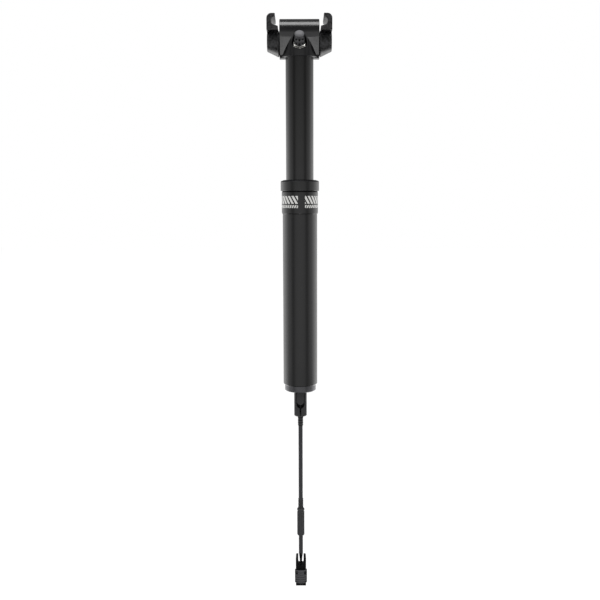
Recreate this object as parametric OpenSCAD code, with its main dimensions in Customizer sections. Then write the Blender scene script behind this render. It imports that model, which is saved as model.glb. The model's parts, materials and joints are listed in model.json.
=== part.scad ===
// Dropper seatpost with a one-bolt rail clamp, a gas cartridge and a cable remote.
// Millimetres. Z runs up the post, X across the rails, and the air valve faces -Y.
// The origin is on the post's axis, at the shoulder that rests on the frame's seat tube.

/* [Lower tube] */
// Outer diameter of the tube that slides into the frame
tube_d = 31.6; // [31.2:0.1:34.9]
// Length of the lower tube below its shoulder
insert_len = 158.5; // [140:0.5:230]
// How far the shoulder stands out from the tube
shoulder_lip = 0.8; // [0.5:0.1:2]
// Height of the shoulder
shoulder_h = 20.2; // [19:0.2:30]

/* [Collar] */
// How far the collar stands out from the shoulder
collar_lip = 0.95; // [0.4:0.05:2]
// Height of the collar
collar_h = 10; // [9:0.1:14]
// Thickness of the gasket under the collar
gasket_t = 0.6; // [0.4:0.1:1.2]

/* [Stanchion] */
// Outer diameter of the sliding tube
stanchion_d = 25; // [24.6:0.1:25.4]
// Thickness of the bushings between the two tubes
bush_t = 1.5; // [1.3:0.1:1.7]
// Wall of the sliding tube
stanchion_wall = 1.5; // [1.2:0.1:2]
// Length of the sliding tube that shows below the head
exposed_len = 107.8; // [97:0.1:180]
// Length of the sliding tube below the shoulder
guide_len = 36; // [33:1:38]
// How far the post drops
travel = 100; // [60:5:100]

/* [Saddle clamp] */
// Diameter of the saddle rails
rail_d = 7; // [6.6:0.1:8]
// Distance between the rails' centres
rail_spacing = 43; // [42:0.5:46]
// Height of the rails above the clamp bolt
rail_rise = 15.5; // [15:0.1:18]
// Length of the rail hooks along the rails
hook_len = 32; // [24:1:40]
// Wall of a hook outside its rail
hook_wall = 3.8; // [3:0.1:6]
// Thickness of a hook's tip over its rail
tip_t = 3; // [1.8:0.1:4]
// Thickness of a hook's lip under its rail
lip_t = 4.1; // [3:0.1:5]
// Diameter of a jaw's boss next to the head
boss_wide_d = 25.6; // [22:0.2:27]
// Diameter of a jaw's boss at its outer face
boss_thin_d = 16.4; // [14.5:0.2:20]
// Diameter of the clamp bolt
bolt_d = 6; // [5:0.5:6]

/* [Head] */
// Height of the clamp bolt above the seam with the sliding tube
bolt_rise = 13.9; // [13.9:0.1:18]
// How far the neck stands out from the sliding tube
neck_lip = 0.9; // [0.5:0.1:2]
// Height of the neck above that seam
neck_h = 19.4; // [16:0.1:21]
// Radius of the head's round crown
crown_r = 12.5; // [10.5:0.1:13]
// How far the crown stands above the rails' centres
crown_rise = 4.4; // [3:0.1:6]
// Radius of the head's rounded underside
keel_r = 6; // [5.4:0.1:7]
// Length of the plug that is bonded into the sliding tube
spigot_len = 24.6; // [15:0.2:25]

/* [Air valve] */
// Distance of the valve's seat from the post's axis
valve_y = 10.9; // [10.5:0.1:11.6]
// Height of the valve's seat above the seam
valve_rise = 9.6; // [8.6:0.1:9.8]
// How far the valve leans out from the post
valve_tilt = 45; // [42:1:48]
// Width of the valve's hexagon across its flats
valve_hex = 10; // [9:0.1:10.4]
// Height of the valve's hexagon
valve_hex_h = 2.2; // [1.8:0.1:4.3]
// Diameter of the valve's cap
cap_d = 9.2; // [8.8:0.1:10]
// Height of the valve's cap
cap_h = 10.7; // [9.8:0.1:11.8]

/* [Foot and actuator] */
// Height of the foot plug below the tube
plug_show = 6; // [5:0.5:12]
// Length of the foot plug inside the tube
plug_in = 18.5; // [18:0.5:18.8]
// Height of the bumper on top of the foot plug
bumper_h = 3.6; // [2:0.2:8]
// Diameter of the actuator's barrel
barrel_d = 11.8; // [11.4:0.1:14]
// Length of the actuator's barrel
barrel_len = 25; // [24.6:0.1:32]
// Width of the slot in the barrel's front
slot_w = 7.7; // [5:0.1:7.8]
// Width of the slit that lets the wire in
slit_w = 1.6; // [1.3:0.1:2]
// How far the cable pulls the plunger
pull = 3; // [2:0.5:3]

/* [Cable] */
// Diameter of the cable housing
housing_d = 4; // [4:0.1:4.6]
// Diameter of the inner wire
wire_d = 1.1; // [1:0.1:1.2]
// Diameter of the ferrule at the actuator
ferrule_d = 5.1; // [4.8:0.1:6]
// Length of the ferrule that shows
ferrule_show = 10.5; // [8:0.1:14]
// Diameter of the adjuster's threaded stud
stud_d = 4.9; // [4.8:0.1:5.6]
// Length of the stud that shows
stud_show = 9.8; // [6:0.1:14]
// Diameter of the adjuster's barrel
adjuster_d = 7; // [6.6:0.1:9]
// Length of the adjuster's barrel
adjuster_len = 26.8; // [22:0.1:34]

/* [Thumb remote] */
// Width of the yoke
yoke_w = 9.9; // [9.6:0.1:11]
// Thickness of each yoke arm
arm_t = 2.4; // [2:0.1:2.6]
// Depth of the yoke
yoke_t = 8; // [7:0.1:9]
// Height of the yoke's arms above its floor
yoke_h = 11.4; // [10:0.1:14]
// Thickness of the yoke's floor
floor_t = 3; // [2.5:0.1:4]
// Width of the ribbed thumb pad
pad_w = 11.6; // [11.2:0.1:13]
// Height of the ribbed thumb pad
pad_h = 12.8; // [11:0.1:14]
// Height of the lever under the yoke
lever_h = 16.9; // [16:0.1:20]
// Diameter of the lever's pivot pin
lever_pin_d = 2; // [1.6:0.1:2.4]
// Number of grip grooves on the thumb pad
grooves = 5; // [3:1:6]

/* [Hidden] */
$fn = 96;

// Clearances: bonded or screwed pieces, running pieces, and how far a cut passes a face
bond = 0.02;
run = 0.06;
over = 1;

// Radii of the two tubes
post_r = stanchion_d / 2;
tube_r = tube_d / 2;
tube_ri = post_r + bush_t;
tube_wall = tube_r - tube_ri;
tube_chamfer = min(0.5, tube_wall / 3);
shoulder_r = tube_r + shoulder_lip;
collar_r = shoulder_r + collar_lip;
post_ri = post_r - stanchion_wall;

// Heights of the collar and its seal
thread_wall = 1;
thread_r = tube_ri + thread_wall;
shoulder_chamfer = min(0.4, (shoulder_r - thread_r) / 4);
gasket_inset = 0.3;
collar_z = shoulder_h + gasket_t;
collar_top = collar_z + collar_h;
collar_grip = 12.2;
spigot_z = shoulder_h - collar_grip;
seam_z = collar_top + exposed_len;
ledge_t = 2;
seal_z = collar_z + 0.2;
seal_r = thread_r + 0.2;
mouth_t = 2;
mouth_gap = 1.1;
lip_proud = -0.3;

// Sliding guides: the keys run in grooves of the lower tube
key_bite = 0.95;
key_r = (tube_ri + key_bite - post_r - run) / 2;
key_at = post_r + run + key_r;
key_count = 3;
key_inset = 3;
bush_len = 22;
bush_low = -9;

// Heights of the foot plug and the actuator
plug_top = -insert_len + plug_in;
plug_bottom = -insert_len - plug_show;
plug_rim = 0.45;
plug_chamfer = 0.4;
barrel_r = barrel_d / 2;
barrel_bottom = plug_bottom - barrel_len;
barrel_bore = 3.95;
barrel_spigot_r = barrel_bore + 1.05;
barrel_spigot = 5.9;
barrel_chamfer = 0.5;
pin_r = 1.5;
needle_r = 1.2;
needle_gap = 6;
needle_tip = 1;
web_t = 1.6;
web_z = plug_bottom + barrel_spigot;
chamber_r = 4.4;
rod_thread = 6;
chamber_top = plug_top - rod_thread;
slot_top = plug_bottom - 0.2;
plunger_r = barrel_bore - run;
plunger_top = slot_top - 0.2;
plunger_len = 9.6;
pull_gap = 0.31;
slot_bottom = plunger_top - plunger_len - plunger_r - pull - pull_gap;
tongue_gap = 0.3;
tongue_sink = 0.4;
ferrule_r = ferrule_d / 2;
ferrule_in = 4;
spring_wire = 0.7;
spring_turns = 5;
flange_t = 1.5;
flange_r = 3.9;
flange_z = chamber_top - 1.2 - flange_t;

// Gas cartridge: the rod stays with the foot plug and the cartridge rides in the sliding tube
rod_r = 5;
rod_bore = 2;
rod_neck_r = 4;
cart_gap = 0.5;
cart_wall = 1.2;
cart_r = post_ri - cart_gap;
cart_ri = cart_r - cart_wall;
foot_nut_h = 5;
foot_nut_bore = 6;
post_bottom = -guide_len;
gland_z = post_bottom + foot_nut_h;
gland_h = 8;
top_out_h = 1.7;
top_out_gap = 0.3;
piston_z = gland_z + gland_h + top_out_h + top_out_gap;
piston_h = 10;
piston_nut_h = 4;
piston_nut_w = 12;
rod_top = piston_z + piston_h + piston_nut_h;
float_ratio = rod_r * rod_r / (cart_ri * cart_ri);
float_gap = 1;
float_h = 8;
float_z = rod_top + travel * (1 - float_ratio) + float_gap;
ring_t = 1.2;
ring_h = 3;
cart_cap_h = 8;
cart_room = 3;
cart_top = seam_z - spigot_len - cart_room;
cart_cap_z = cart_top - cart_cap_h;

// Heights of the head and the clamp
bolt_z = seam_z + bolt_rise;
bolt_r = bolt_d / 2;
rail_r = rail_d / 2;
rail_x = rail_spacing / 2;
rail_z = bolt_z + rail_rise;
rail_gap = 0.3;
head_w = rail_spacing - rail_d - 2 * rail_gap;
neck_r = post_r + neck_lip;
neck_chamfer = 0.4;
neck_top = seam_z + neck_h;
crown_z = rail_z + crown_rise - crown_r;
keel_dip = 1.1;
keel_z = seam_z + keel_r - keel_dip;
jaw_gap = 0.25;
jaw_chamfer = 0.8;
jaw_in = head_w / 2 + jaw_gap;
jaw_out = rail_x + rail_r + hook_wall;
hook_top = rail_z + rail_r + tip_t;
hook_bottom = rail_z - rail_r - lip_t;
hook_round = 4.3;
lip_x = jaw_in + 0.9;
lip_slope = 1.2;
bolt_head_r = bolt_r + 2;
bolt_head_h = bolt_d * 0.9;
bolt_socket = bolt_d * 0.83;
washer_t = 0.8;
seat_x = jaw_out - bolt_head_h - washer_t - 0.4;
nut_w = bolt_d * 1.667;
nut_h = bolt_d * 0.83;
nut_x = jaw_out - nut_h - 0.4;
hook_sink = 0.2;

// Air valve in the neck's front pocket, with heights along its own axis from its seat
valve_z = seam_z + valve_rise;
pocket_r = valve_hex / 2 + 1.8;
pocket_len = 40;
cap_z = valve_hex_h + 0.2;
cap_r = cap_d / 2;
cap_skirt_h = cap_h / 2;
cap_round = 2.4;
cap_roof = 2.6;
cap_knurls = 18;
knurl_r = 0.35;
stem_r = cap_r - 0.85;
stem_h = cap_h - cap_roof - 1.3;
shank_r = 2.9;
shank_h = 4.8;
core_r = 1.5;
core_pin_r = 0.6;
air_r = 1;
air_bore = 3;
air_len = valve_y / sin(valve_tilt);
air_z = valve_z - valve_y / tan(valve_tilt) + 2 * air_r;

// Cable: heights along the straight hanging run, counted down from the ferrule's end
exit_z = barrel_bottom - ferrule_show;
upper_run = [0, -10, -20, -30, -40, -50, -60, -71];
lower_run = [0, -6, -12, -17.6];
housing_sides = 10;
stud_z = exit_z + upper_run[len(upper_run) - 1];
stud_in = 9;
adjuster_top = stud_z - stud_show - 0.1;
adjuster_bottom = adjuster_top - adjuster_len;
adjuster_gap = 0.2;
adjuster_round = 1;
flutes = 10;
flute_r = 0.5;
flute_end = 4;
lower_z = adjuster_bottom - adjuster_gap;
nose_z = lower_z + lower_run[len(lower_run) - 1];
nose_len = 10.9;
nose_tip_r = 0.9;
thread_pitch = 0.8;
thread_depth = 0.35;

// Thumb remote: the lever hangs under the yoke and turns on a pin behind it
yoke_floor = nose_z - nose_len - 1;
yoke_top = yoke_floor + yoke_h;
yoke_slope = 3.6;
yoke_bottom = yoke_floor - floor_t;
lever_gap = 0.6;
lever_top = yoke_bottom - lever_gap;
lever_bottom = lever_top - lever_h;
lever_front = -3.4;
lever_back = 3;
pivot_y = 9.5;
pivot_z = yoke_bottom - 4.7;
knuckle_r = 3.2;
cheek_gap = 0.25;
knuckle_w = yoke_w - 2 * arm_t - 2 * cheek_gap;
lever_w = yoke_w - 0.1;
wire_r = wire_d / 2;
wire_end = lever_top - 5.4;
anchor_r = 1.6;
anchor_drop = 11;
anchor_z = lever_top - anchor_drop;
pad_front = -6.2;
pad_back = -1.5;
pad_round = 7.5;
pad_top = lever_top - 0.4;
groove_r = 0.45;
barrel_end_r = 1.5;
barrel_end_w = 6;
barrel_end_z = plunger_top - 5;
wire_bottom = barrel_bottom - 4;

black = [0.07, 0.07, 0.075];
satin = [0.11, 0.11, 0.115];
rubber = [0.05, 0.05, 0.05];
steel = [0.62, 0.62, 0.64];
alloy = [0.75, 0.75, 0.77];
brass = [0.78, 0.62, 0.32];
grey = [0.45, 0.45, 0.46];

// A plain ring between two heights
module ring(r_out, r_in, low, high) {
    translate([0, 0, low])
        difference() {
            cylinder(r = r_out, h = high - low);
            translate([0, 0, -over]) cylinder(r = r_in, h = high - low + 2 * over);
        }
}

// A solid turned about Z from its half outline
module turned(outline) {
    rotate_extrude() polygon(outline);
}

// A round bar along X between two places
module bar_x(r, low, high) {
    translate([low, 0, 0]) rotate([0, 90, 0]) cylinder(r = r, h = high - low);
}

// A flat outline in Y and Z, given a width across X
module slab_x(width) {
    rotate([90, 0, 90]) translate([0, 0, -width / 2]) linear_extrude(width) children();
}

// A flat outline in X and Z, given a depth along Y
module slab_y(depth) {
    rotate([90, 0, 0]) translate([0, 0, -depth / 2]) linear_extrude(depth) children();
}

// Places its children at each guide key
module at_keys() {
    for (i = [0 : key_count - 1])
        rotate([0, 0, 90 + i * 360 / key_count]) translate([key_at, 0, 0]) children();
}

// Triangles that join rings of n points into one closed tube
function tube_faces(rings, n) = concat(
    [for (k = [0 : rings - 2], i = [0 : n - 1])
        [k * n + i, k * n + (i + 1) % n, (k + 1) * n + (i + 1) % n]],
    [for (k = [0 : rings - 2], i = [0 : n - 1])
        [k * n + i, (k + 1) * n + (i + 1) % n, (k + 1) * n + i]],
    [for (i = [1 : n - 2]) [0, i + 1, i]],
    [for (i = [1 : n - 2]) (rings - 1) * n * [1, 1, 1] + [0, i, i + 1]]
);

// A straight stretch of housing that hangs from one height through the run's steps
module hanging_run(from_z, steps, d, n) {
    points = [for (step = steps, i = [0 : n - 1])
        [d / 2 * cos(360 * i / n), d / 2 * sin(360 * i / n), from_z + step]];
    polyhedron(points, tube_faces(len(steps), n));
}

module lower_tube() {
    color(black)
        difference() {
            turned([
                [tube_ri, -insert_len], [tube_r - tube_chamfer, -insert_len], [tube_r, -insert_len + tube_chamfer],
                [tube_r, 0], [tube_r + shoulder_lip * 0.25, 0], [shoulder_r, shoulder_lip * 1.8],
                [shoulder_r, shoulder_h - shoulder_chamfer], [shoulder_r - shoulder_chamfer, shoulder_h],
                [thread_r, shoulder_h], [thread_r, spigot_z - 0.2], [tube_ri, spigot_z - 0.2]
            ]);
            translate([0, 0, -insert_len - over])
                at_keys() cylinder(r = key_r + run, h = insert_len + over + bush_low);
        }
}

module collar() {
    color(satin)
        turned([
            [tube_ri, spigot_z], [thread_r - bond, spigot_z], [thread_r - bond, collar_z], [collar_r - 0.3, collar_z],
            [collar_r, collar_z + 0.3], [collar_r, collar_top - 1.5], [collar_r - 0.5, collar_top - 0.9],
            [post_r + 1.9, collar_top], [post_r + mouth_gap, collar_top - 0.2],
            [post_r + mouth_gap, collar_top - mouth_t], [seal_r, collar_top - mouth_t], [seal_r, seal_z],
            [post_r + 0.7, seal_z], [post_r + 0.7, seal_z - ledge_t], [tube_ri, seal_z - ledge_t]
        ]);
}

module collar_gasket() {
    color(rubber) ring(shoulder_r - (shoulder_r - thread_r) * gasket_inset, thread_r + bond, shoulder_h, collar_z);
}

module wiper_seal() {
    color(rubber)
        turned([
            [post_r + run, seal_z], [seal_r - bond, seal_z], [seal_r - bond, collar_top - mouth_t - bond],
            [post_r + mouth_gap - bond, collar_top - mouth_t - bond],
            [post_r + mouth_gap - bond, collar_top - 0.2], [post_r + run + 0.3, collar_top + lip_proud],
            [post_r + run, collar_top + lip_proud]
        ]);
}

module upper_bushing() {
    color(grey) ring(tube_ri - bond, post_r + run, bush_low, seal_z - ledge_t - bond);
}

module foot_plug() {
    color(satin)
        difference() {
            turned([
                [0, plug_bottom], [tube_ri + plug_rim - plug_chamfer, plug_bottom],
                [tube_ri + plug_rim, plug_bottom + plug_chamfer], [tube_ri + plug_rim, -insert_len],
                [tube_ri - bond, -insert_len], [tube_ri - bond, plug_top - 0.5], [tube_ri - 0.5, plug_top],
                [0, plug_top]
            ]);
            translate([0, 0, plug_bottom - over]) cylinder(r = barrel_spigot_r + bond, h = barrel_spigot + over);
            translate([0, 0, web_z - over]) cylinder(r = pin_r + run, h = web_t + 2 * over);
            translate([0, 0, web_z + web_t]) cylinder(r = chamber_r, h = chamber_top - web_z - web_t);
            translate([0, 0, chamber_top]) cylinder(r = rod_r + bond, h = rod_thread + over);
        }
}

module bumper_ring() {
    color(rubber) ring(tube_ri - 0.6, rod_r + 0.4, plug_top, plug_top + bumper_h);
}

module piston_rod() {
    color(steel)
        turned([
            [rod_bore, chamber_top], [rod_r, chamber_top], [rod_r, piston_z], [rod_neck_r, piston_z],
            [rod_neck_r, rod_top], [0, rod_top], [0, rod_top - 3], [rod_bore, rod_top - 3]
        ]);
}

// A piston with a groove for its ring
module ringed_piston(low, height, bore) {
    difference() {
        ring(cart_ri - run - bond, bore, low, low + height);
        ring(cart_ri, cart_ri - ring_t, low + (height - ring_h) / 2, low + (height + ring_h) / 2);
    }
}

// The ring in that groove
module groove_ring(low, height) {
    ring(cart_ri - run, cart_ri - ring_t + bond, low + (height - ring_h) / 2 + bond,
        low + (height + ring_h) / 2 - bond);
}

module piston() {
    color(alloy) ringed_piston(piston_z, piston_h, rod_neck_r + bond);
}

module piston_ring() {
    color(rubber) groove_ring(piston_z, piston_h);
}

module piston_nut() {
    color(steel)
        difference() {
            translate([0, 0, piston_z + piston_h])
                cylinder(r = piston_nut_w / 2 / cos(30), h = piston_nut_h, $fn = 6);
            translate([0, 0, piston_z + piston_h - over])
                cylinder(r = rod_neck_r + bond, h = piston_nut_h + 2 * over);
        }
}

module actuator_barrel() {
    slot_arc_z = slot_bottom + slot_w / 2;
    color(satin)
        difference() {
            turned([
                [0, barrel_bottom], [barrel_r - barrel_chamfer, barrel_bottom],
                [barrel_r, barrel_bottom + barrel_chamfer], [barrel_r, plug_bottom], [barrel_spigot_r, plug_bottom],
                [barrel_spigot_r, plug_bottom + barrel_spigot - bond], [0, plug_bottom + barrel_spigot - bond]
            ]);
            translate([0, 0, slot_bottom]) cylinder(r = barrel_bore, h = barrel_len + barrel_spigot);
            translate([0, 0, barrel_bottom - over]) cylinder(r = ferrule_r + bond, h = ferrule_in + over);
            translate([0, 0, barrel_bottom]) cylinder(r = slit_w / 2, h = barrel_len / 2);
            translate([-slot_w / 2, -barrel_r - over, slot_arc_z])
                cube([slot_w, barrel_r + over, slot_top - slot_arc_z]);
            translate([0, 0, slot_arc_z]) rotate([90, 0, 0]) cylinder(r = slot_w / 2, h = barrel_r + over);
            translate([-slit_w / 2, -barrel_r - over, barrel_bottom - over])
                cube([slit_w, barrel_r + over, slot_arc_z - barrel_bottom + over]);
        }
}

// One unbroken coil between the plug's web and the release pin's flange
module return_spring() {
    sides = 6;
    steps = 8 * spring_turns;
    coil_r = (pin_r + run + chamber_r) / 2;
    low = web_z + web_t + spring_wire / 2;
    rise = flange_z - spring_wire / 2 - low;
    lead = rise / spring_turns;
    slope = atan2(lead, 2 * PI * coil_r);
    echo(least_gap_of_spring = lead * cos(slope) - spring_wire);
    points = [for (k = [0 : steps], i = [0 : sides - 1])
        let (
            turn = 360 * spring_turns * k / steps,
            out = [cos(turn), sin(turn), 0],
            along = [-sin(turn) * cos(slope), cos(turn) * cos(slope), sin(slope)],
            side = cross(out, along),
            a = 360 * i / sides
        )
        coil_r * out + [0, 0, low + rise * k / steps] + spring_wire / 2 * (cos(a) * out + sin(a) * side)];
    color(steel) polyhedron(points, tube_faces(steps + 1, sides));
}

module cable_ferrule() {
    rib = 0.3;
    color(black)
        difference() {
            turned([
                [0, exit_z], [ferrule_r - 0.6, exit_z], [ferrule_r, exit_z + 1.6],
                for (i = [0 : 2], p = [[0, 0.4], [rib, 0.7], [rib, 1.3], [0, 1.6]])
                    [ferrule_r - p[0], exit_z + 1.6 + i * 2.2 + p[1]],
                [ferrule_r, barrel_bottom + ferrule_in - 0.3], [ferrule_r - 0.3, barrel_bottom + ferrule_in],
                [0, barrel_bottom + ferrule_in]
            ]);
            translate([0, 0, exit_z + 1.5]) cylinder(r = wire_r + 0.2, h = ferrule_show + ferrule_in);
        }
}

module cable_housing_upper() {
    color(black) hanging_run(exit_z, upper_run, housing_d, housing_sides);
}

// Saw-tooth outline of a screw thread, as rings
function thread_outline(r, low, high) = [
    for (i = [0 : floor((high - low) / thread_pitch) - 1], p = [[0, 0], [thread_depth, 0.5]])
        [r - p[0], low + (i + p[1]) * thread_pitch]
];

module adjuster_stud() {
    low = adjuster_top - stud_in;
    color(satin)
        turned(concat(
            [[0, low], [stud_d / 2 - thread_depth, low]],
            thread_outline(stud_d / 2, low + 0.3, stud_z - 0.8),
            [[stud_d / 2, stud_z - 0.6], [stud_d / 2, stud_z - 0.3], [stud_d / 2 - 0.3, stud_z], [0, stud_z]]
        ));
}

module adjuster_barrel() {
    r = adjuster_d / 2;
    waist = 0.5;
    color(black)
        difference() {
            turned([
                [0, adjuster_bottom], [r - adjuster_round, adjuster_bottom],
                [r - adjuster_round * 0.3, adjuster_bottom + adjuster_round * 0.3],
                [r, adjuster_bottom + adjuster_round], [r, adjuster_top - 3.4], [r - waist, adjuster_top - 3],
                [r - waist, adjuster_top - 2.2], [r, adjuster_top - 1.8], [r, adjuster_top - 0.3],
                [r - 0.3, adjuster_top], [0, adjuster_top]
            ]);
            translate([0, 0, adjuster_top - stud_in - 2]) cylinder(r = stud_d / 2 + run, h = stud_in + 2 + over);
            for (i = [0 : flutes - 1])
                rotate([0, 0, 360 * i / flutes]) translate([r + flute_r * 0.3, 0, adjuster_bottom + flute_end])
                    cylinder(r = flute_r, h = adjuster_len - 2 * flute_end);
        }
}

module cable_housing_lower() {
    color(black) hanging_run(lower_z, lower_run, housing_d, housing_sides);
}

module cable_nose() {
    color(rubber)
        difference() {
            turned([
                [0, nose_z - nose_len], [nose_tip_r, nose_z - nose_len], [housing_d / 2 * 0.7, nose_z - nose_len * 0.4],
                [housing_d / 2, nose_z], [0, nose_z]
            ]);
            translate([0, 0, nose_z - nose_len - over]) cylinder(r = wire_r + bond, h = over + 3);
        }
}

module cable_wire_lower() {
    color(steel) translate([0, 0, wire_end]) cylinder(r = wire_r, h = nose_z - nose_len + 3 - wire_end);
}

module remote_yoke() {
    gap = yoke_w - 2 * arm_t;
    color(black)
        difference() {
            union() {
                translate([-yoke_w / 2, -yoke_t / 2, yoke_bottom]) cube([yoke_w, yoke_t, yoke_top - yoke_bottom]);
                slab_x(yoke_w)
                    polygon([
                        [0, yoke_floor], [yoke_t / 2, yoke_floor + 1], [pivot_y + knuckle_r, pivot_z + 5],
                        [pivot_y + knuckle_r, pivot_z], [pivot_y - knuckle_r, pivot_z],
                        [pivot_y - knuckle_r - 0.6, yoke_bottom], [0, yoke_bottom]
                    ]);
                translate([0, pivot_y, pivot_z]) bar_x(knuckle_r, -yoke_w / 2, yoke_w / 2);
            }
            slab_y(yoke_t + 2 * over) {
                translate([0, yoke_floor + gap / 2]) circle(gap / 2);
                translate([-gap / 2, yoke_floor + gap / 2]) square([gap, yoke_top - yoke_floor]);
                for (side = [-1, 1])
                    polygon([
                        [side * (yoke_w / 2 - arm_t * 0.35), yoke_top + over], [side * (yoke_w / 2 + over), yoke_top + over],
                        [side * (yoke_w / 2 + over), yoke_top - yoke_slope - over],
                        [side * yoke_w / 2, yoke_top - yoke_slope]
                    ]);
            }
            translate([-gap / 2, yoke_t / 2, pivot_z - knuckle_r - over])
                cube([gap, pivot_y + knuckle_r, yoke_bottom - pivot_z + knuckle_r + over]);
            translate([-gap / 2, pivot_y - knuckle_r - 0.6, yoke_bottom - over])
                cube([gap, 2 * knuckle_r + 1, over + knuckle_r]);
            translate([0, 0, yoke_bottom - over]) cylinder(r = wire_r + run, h = floor_t + 2 * over);
            translate([0, pivot_y, pivot_z]) bar_x(lever_pin_d / 2 + bond, -yoke_w, yoke_w);
        }
}

module lever_pin() {
    color(steel) translate([0, pivot_y, pivot_z]) bar_x(lever_pin_d / 2, -yoke_w / 2, yoke_w / 2);
}

module stanchion() {
    color(satin) ring(post_r, post_ri, post_bottom, seam_z);
}

// Side outline of the head: a round crown drawn down to a rounded keel
module head_outline() {
    dip = asin((keel_r - crown_r) / (crown_z - keel_z));
    out = [cos(dip), sin(dip)];
    high = [0, crown_z] + crown_r * out;
    low = [0, keel_z] + keel_r * out;
    translate([0, crown_z]) circle(crown_r);
    translate([0, keel_z]) circle(keel_r);
    polygon([high, low, [-low.x, low.y], [-high.x, high.y]]);
}

// Places its children on the valve's seat, along the valve's axis
module at_valve() {
    translate([0, -valve_y, valve_z]) rotate([valve_tilt, 0, 0]) children();
}

module seat_head() {
    color(satin)
        difference() {
            union() {
                difference() {
                    slab_x(head_w) head_outline();
                    translate([0, 0, seam_z - keel_r]) cylinder(r = post_r + bond, h = keel_r);
                }
                turned([
                    [0, seam_z], [neck_r - neck_chamfer, seam_z], [neck_r, seam_z + neck_chamfer],
                    [neck_r, neck_top - neck_chamfer], [neck_r - neck_chamfer, neck_top], [0, neck_top]
                ]);
                translate([0, 0, seam_z - spigot_len]) cylinder(r = post_ri - bond, h = spigot_len + over);
            }
            translate([0, 0, bolt_z]) bar_x(bolt_r + run, -head_w, head_w);
            at_valve() {
                cylinder(r = pocket_r, h = pocket_len);
                translate([0, 0, -shank_h]) cylinder(r = shank_r + bond, h = shank_h + over);
                translate([0, 0, -air_len]) cylinder(r = air_r, h = air_len);
            }
            translate([0, 0, seam_z - spigot_len - over])
                cylinder(r = air_bore, h = air_z - seam_z + spigot_len + over);
        }
}

module valve_body() {
    color(steel)
        at_valve()
            difference() {
                union() {
                    translate([0, 0, -shank_h + bond]) cylinder(r = shank_r, h = shank_h);
                    rotate([0, 0, 30]) cylinder(r = valve_hex / 2 / cos(30), h = valve_hex_h, $fn = 6);
                    cylinder(r = stem_r, h = valve_hex_h + stem_h);
                }
                translate([0, 0, -shank_h - over])
                    cylinder(r = core_r + bond, h = shank_h + valve_hex_h + stem_h + 2 * over);
            }
}

module valve_core() {
    color(brass)
        at_valve() {
            cylinder(r = core_r, h = valve_hex_h + stem_h - 0.5);
            cylinder(r = core_pin_r, h = valve_hex_h + stem_h + 0.6);
        }
}

module valve_cap() {
    color(grey)
        at_valve() translate([0, 0, cap_z])
            difference() {
                union() {
                    turned([
                        [0, 0], [cap_r, 0], [cap_r, cap_skirt_h], [cap_r - 0.3, cap_skirt_h + 0.3],
                        [cap_r - 0.3, cap_h - cap_round], [0, cap_h - cap_round]
                    ]);
                    translate([0, 0, cap_h - cap_round])
                        turned([
                            [0, 0], [cap_r - 0.3, 0],
                            for (a = [15 : 15 : 90])
                                [cap_r - 0.3 - cap_round + cap_round * cos(a), cap_round * sin(a)],
                            [0, cap_round]
                        ]);
                }
                translate([0, 0, -over]) cylinder(r = stem_r + run, h = cap_h - cap_roof + over);
                for (i = [0 : cap_knurls - 1])
                    rotate([0, 0, 360 * i / cap_knurls]) translate([cap_r + knurl_r * 0.55, 0, 0.6])
                        cylinder(r = knurl_r, h = cap_skirt_h - 1.2);
            }
}

module cartridge_tube() {
    color(alloy) ring(cart_r, cart_ri, gland_z, cart_top);
}

module cartridge_cap() {
    color(alloy) ring(cart_ri - bond, air_bore, cart_cap_z, cart_top);
}

module rod_gland() {
    color(alloy)
        difference() {
            ring(cart_ri - bond, rod_r + run, gland_z, gland_z + gland_h);
            translate([0, 0, gland_z + 2]) cylinder(r = rod_r + 1.9, h = 2.5);
        }
}

module rod_seal() {
    color(rubber) ring(rod_r + 1.9 - bond, rod_r + run, gland_z + 2 + bond, gland_z + 4.5 - bond);
}

module top_out_ring() {
    color(rubber) ring(cart_ri - 0.3, rod_r + 0.4, gland_z + gland_h, gland_z + gland_h + top_out_h);
}

module foot_nut() {
    color(steel) ring(post_ri - bond, foot_nut_bore, post_bottom, gland_z);
}

module lower_bushing() {
    color(grey)
        difference() {
            ring(tube_ri - run, post_r + bond, post_bottom, post_bottom + bush_len);
            translate([0, 0, post_bottom + key_inset - bond])
                at_keys() cylinder(r = key_r + bond, h = bush_len - 2 * key_inset + 2 * bond);
        }
}

module guide_keys() {
    color(brass)
        translate([0, 0, post_bottom + key_inset]) at_keys() cylinder(r = key_r, h = bush_len - 2 * key_inset);
}

// Front outline of a rail hook on the +X side
module hook_outline() {
    corner = [jaw_out - hook_round, hook_top - hook_round];
    difference() {
        union() {
            translate([lip_x, hook_bottom]) square([jaw_out - lip_x, corner.y - hook_bottom]);
            translate([lip_x, hook_bottom]) square([corner.x - lip_x, hook_top - hook_bottom]);
            translate(corner) circle(hook_round);
        }
        translate([rail_x, rail_z]) circle(rail_r);
        polygon([
            [rail_x, hook_top + over], [lip_x - over, hook_top + over],
            [lip_x - over, rail_z - rail_r - lip_slope], [rail_x, rail_z - rail_r]
        ]);
    }
}

// A jaw on the +X side: rail hook, conical boss and the bore for the bolt
module jaw() {
    wide = boss_wide_d / 2;
    thin = boss_thin_d / 2;
    difference() {
        union() {
            slab_y(hook_len) hook_outline();
            intersection() {
                translate([jaw_in, 0, bolt_z]) rotate([0, 90, 0])
                    turned([
                        [0, 0], [wide - jaw_chamfer, 0], [wide, jaw_chamfer], [thin, jaw_out - jaw_in - 0.4],
                        [thin - 0.4, jaw_out - jaw_in], [0, jaw_out - jaw_in]
                    ]);
                translate([0, -wide, bolt_z - wide])
                    cube([jaw_out, 2 * wide, hook_bottom + hook_sink - bolt_z + wide]);
            }
        }
        translate([0, 0, bolt_z]) bar_x(bolt_r + run, 0, jaw_out + over);
    }
}

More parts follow.
